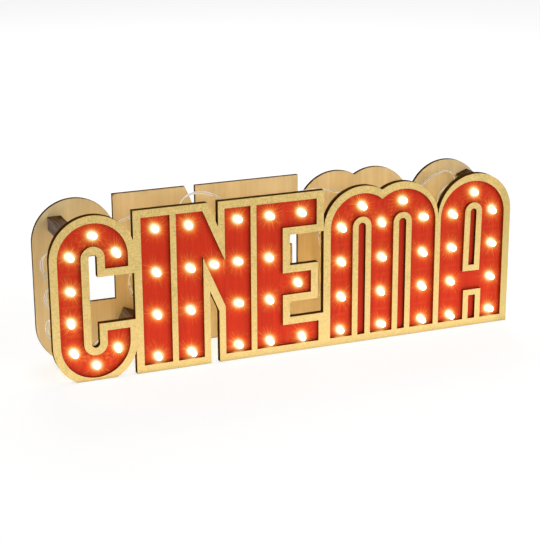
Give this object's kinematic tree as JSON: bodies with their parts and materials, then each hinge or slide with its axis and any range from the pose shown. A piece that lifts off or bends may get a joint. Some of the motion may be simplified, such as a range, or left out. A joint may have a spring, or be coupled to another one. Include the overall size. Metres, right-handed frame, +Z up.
{
  "type": "led sign",
  "caption": "Free-standing marquee letter sign: gold face frame over a red bulb panel, plywood back plate on wooden blocks, rear battery box with slide switch.",
  "frame": {"origin": "middle of the footprint on the table, under the centre of the overall box", "axes": "+X along the sign to the viewer's right, +Y to the back, +Z up"},
  "size_m": [0.4, 0.0816, 0.134],
  "materials": {
    "gold_face": "satin gold paint on thin sheet, dark laser-cut edges",
    "red_panel": "satin red paint, dark laser-cut edges",
    "birch_plywood": "clear matt, dark laser-cut edges",
    "dark_wood": "matt stain",
    "lit_bulb": "clear, lit warm white",
    "clear_sleeve": "clear",
    "clear_wire": "clear",
    "foam": "closed foam",
    "black_plastic": "fine moulded texture",
    "cell_can": "printed sleeve, bare of words",
    "spring_steel": "nickel plated",
    "switch_can": "tinned",
    "white_plastic": "moulded"
  },
  "bodies": {
    "sign": {"front_frame": "gold_face", "counter_ring": "gold_face", "face_panel": "red_panel", "back_plate": "birch_plywood", "spacer_top_left": "dark_wood", "spacer_low_left": "dark_wood", "spacer_top_right": "dark_wood", "spacer_low_right": "dark_wood", "bulbs_c": "lit_bulb", "bulbs_i": "lit_bulb", "bulbs_n": "lit_bulb", "bulbs_e": "lit_bulb", "bulbs_m": "lit_bulb", "bulbs_a": "lit_bulb", "sleeves_c": "clear_sleeve", "sleeves_i": "clear_sleeve", "sleeves_n": "clear_sleeve", "sleeves_e": "clear_sleeve", "sleeves_m": "clear_sleeve", "sleeves_a": "clear_sleeve", "wire_c": "clear_wire", "wire_i": "clear_wire", "wire_n": "clear_wire", "wire_e": "clear_wire", "wire_m": "clear_wire", "wire_a": "clear_wire", "feed_wire": "clear_wire", "foam_tape": "foam", "battery_box": "black_plastic", "cell_top": "cell_can", "cell_middle": "cell_can", "cell_low": "cell_can", "contact_springs": "spring_steel", "contact_plates": "spring_steel", "switch_body": "switch_can"},
    "cover": {"battery_cover": "black_plastic"},
    "knob": {"switch_knob": "white_plastic"}
  },
  "joints": [
    {"name": "cover_slide", "type": "slide", "parent": "sign", "child": "cover", "axis": [-1, 0, 0], "range_m": [0, 0.058]},
    {"name": "switch_slide", "type": "slide", "parent": "sign", "child": "knob", "axis": [0, 0, -1], "range_m": [0, 0.004]}
  ]
}
